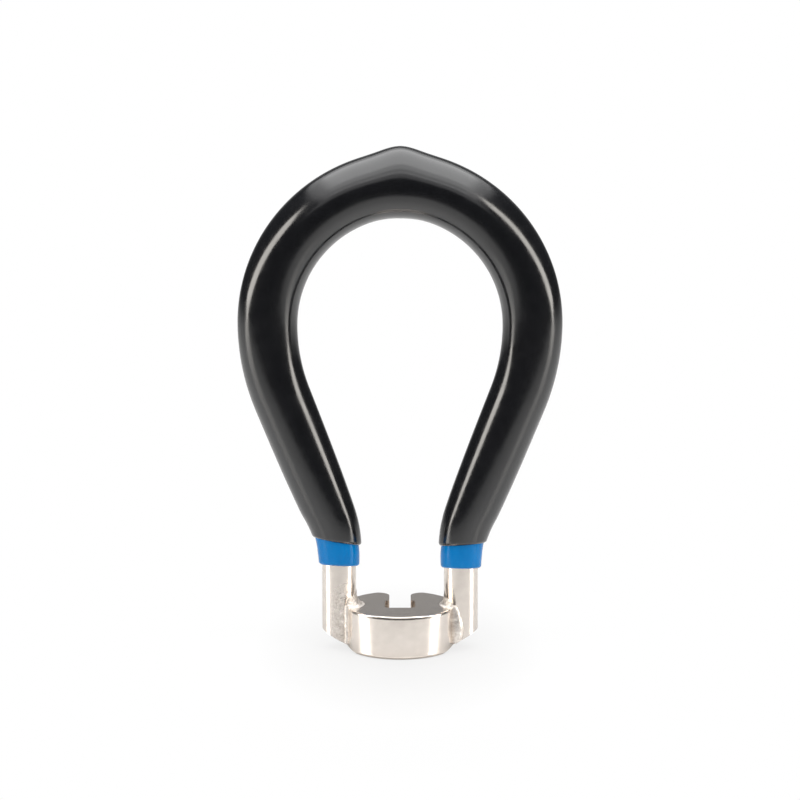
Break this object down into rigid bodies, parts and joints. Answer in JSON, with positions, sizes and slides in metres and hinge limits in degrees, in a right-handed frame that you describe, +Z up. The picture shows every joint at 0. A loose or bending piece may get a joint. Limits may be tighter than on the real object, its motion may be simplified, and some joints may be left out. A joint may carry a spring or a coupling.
{
  "type": "spoke wrench",
  "caption": "Loop-handled spoke wrench with a four-sided slotted nipple socket, a bent steel rod handle and a dipped vinyl grip.",
  "frame": {"origin": "on the axis of the nipple socket, at the head's flat underside", "axes": "+Z up the tool from the head to the crown of the loop, X across the loop, +Y out of the spoke slit"},
  "size_m": [0.0348, 0.0113, 0.0548],
  "materials": {
    "nickel": "nickel plate, semi-bright and slightly warm",
    "braze_metal": "braze under the same nickel plate, rough and lumpy",
    "blue_vinyl": "dipped vinyl, glossy",
    "black_vinyl": "dipped vinyl, glossy with soft highlights"
  },
  "bodies": {
    "root": {"handle_rod": "nickel", "wrench_head": "nickel", "braze_fillet_left": "braze_metal", "braze_fillet_right": "braze_metal", "undercoat": "blue_vinyl", "grip_coat": "black_vinyl"}
  },
  "joints": []
}
